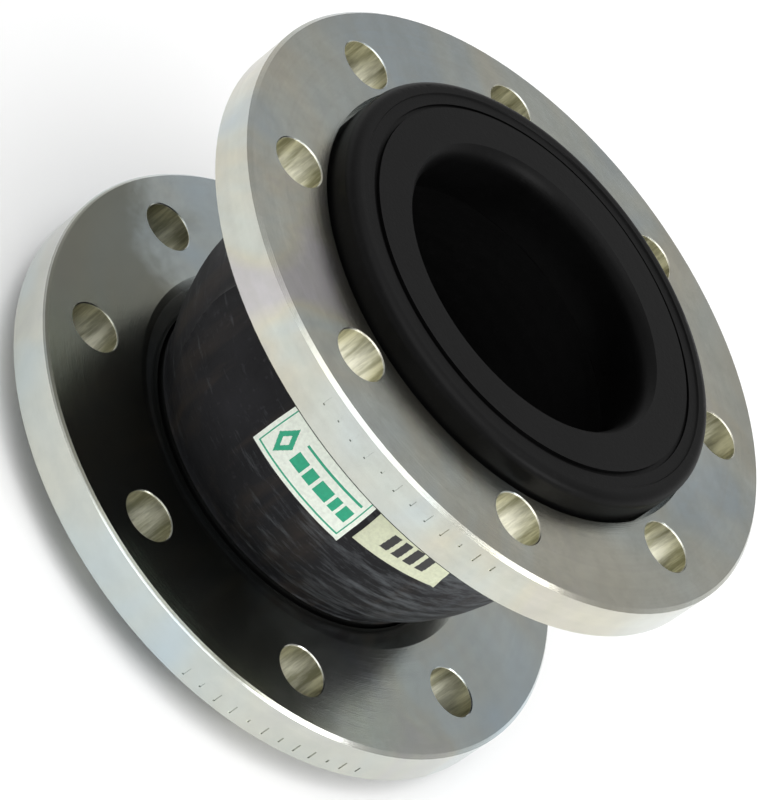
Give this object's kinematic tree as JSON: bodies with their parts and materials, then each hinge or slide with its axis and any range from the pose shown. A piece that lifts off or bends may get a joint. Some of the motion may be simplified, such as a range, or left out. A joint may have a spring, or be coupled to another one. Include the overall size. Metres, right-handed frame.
{
  "type": "rubber expansion joint",
  "caption": "Flanged rubber pipe expansion joint: one moulded arch with sealing collars between floating steel flanges.",
  "frame": {"origin": "centre of the lower sealing face, on the pipe axis", "axes": "+Z along the pipe axis from the lower to the upper flange; +X midway between two bolt holes of the lower flange"},
  "size_m": [0.22, 0.22, 0.135],
  "materials": {
    "zinc_plated_steel": "zinc-plated and passivated, face-turned, satin",
    "collar_rubber": "moulded EPDM, satin black",
    "cover_rubber": "wrapped-cure EPDM, matt black with bloom",
    "liner_rubber": "smooth black EPDM",
    "filler_rubber": "hard black rubber",
    "nylon_cord": "rubber-skimmed nylon cord",
    "bead_steel": "brass-washed high-tensile wire",
    "label_film": "printed paper-backed film, satin",
    "tag_film": "printed film, matt"
  },
  "bodies": {
    "lower_end": {"lower_collar": "collar_rubber", "lower_bead_wire": "bead_steel", "lower_bead_filler": "filler_rubber"},
    "lower_flange": {"lower_flange": "zinc_plated_steel"},
    "carcass": {"inner_liner": "liner_rubber", "cord_ply_1": "nylon_cord", "cord_ply_2": "nylon_cord", "cord_ply_3": "nylon_cord"},
    "cover": {"outer_cover": "cover_rubber", "maker_label": "label_film", "material_tag": "tag_film"},
    "upper_end": {"upper_collar": "collar_rubber", "upper_bead_wire": "bead_steel", "upper_bead_filler": "filler_rubber"},
    "upper_flange": {"upper_flange": "zinc_plated_steel"}
  },
  "joints": [
    {"name": "lower_flange_swivel", "type": "hinge", "parent": "lower_end", "child": "lower_flange", "pos_m": [0, 0, 0.0185], "axis": [0, 0, 1], "continuous": true},
    {"name": "lower_flex", "type": "hinge", "parent": "lower_end", "child": "carcass", "pos_m": [0, 0, 0.04], "axis": [0, 1, 0], "range_deg": [-7.5, 7.5], "stiffness_Nm_per_rad": 184, "deforming": ["inner_liner", "cord_ply_1", "cord_ply_2", "cord_ply_3", "outer_cover"]},
    {"name": "axial_travel", "type": "slide", "parent": "carcass", "child": "cover", "axis": [0, 0, 1], "range_m": [-0.012, 0.006], "stiffness_N_per_m": 35000, "springref_m": 0.0009, "deforming": ["inner_liner", "cord_ply_1", "cord_ply_2", "cord_ply_3", "outer_cover"]},
    {"name": "upper_flex", "type": "hinge", "parent": "cover", "child": "upper_end", "pos_m": [0, 0, 0.095], "axis": [0, 1, 0], "range_deg": [-7.5, 7.5], "stiffness_Nm_per_rad": 184, "deforming": ["inner_liner", "cord_ply_1", "cord_ply_2", "cord_ply_3", "outer_cover"]},
    {"name": "upper_flange_swivel", "type": "hinge", "parent": "upper_end", "child": "upper_flange", "pos_m": [0, 0, 0.1165], "axis": [0, 0, 1], "continuous": true}
  ]
}
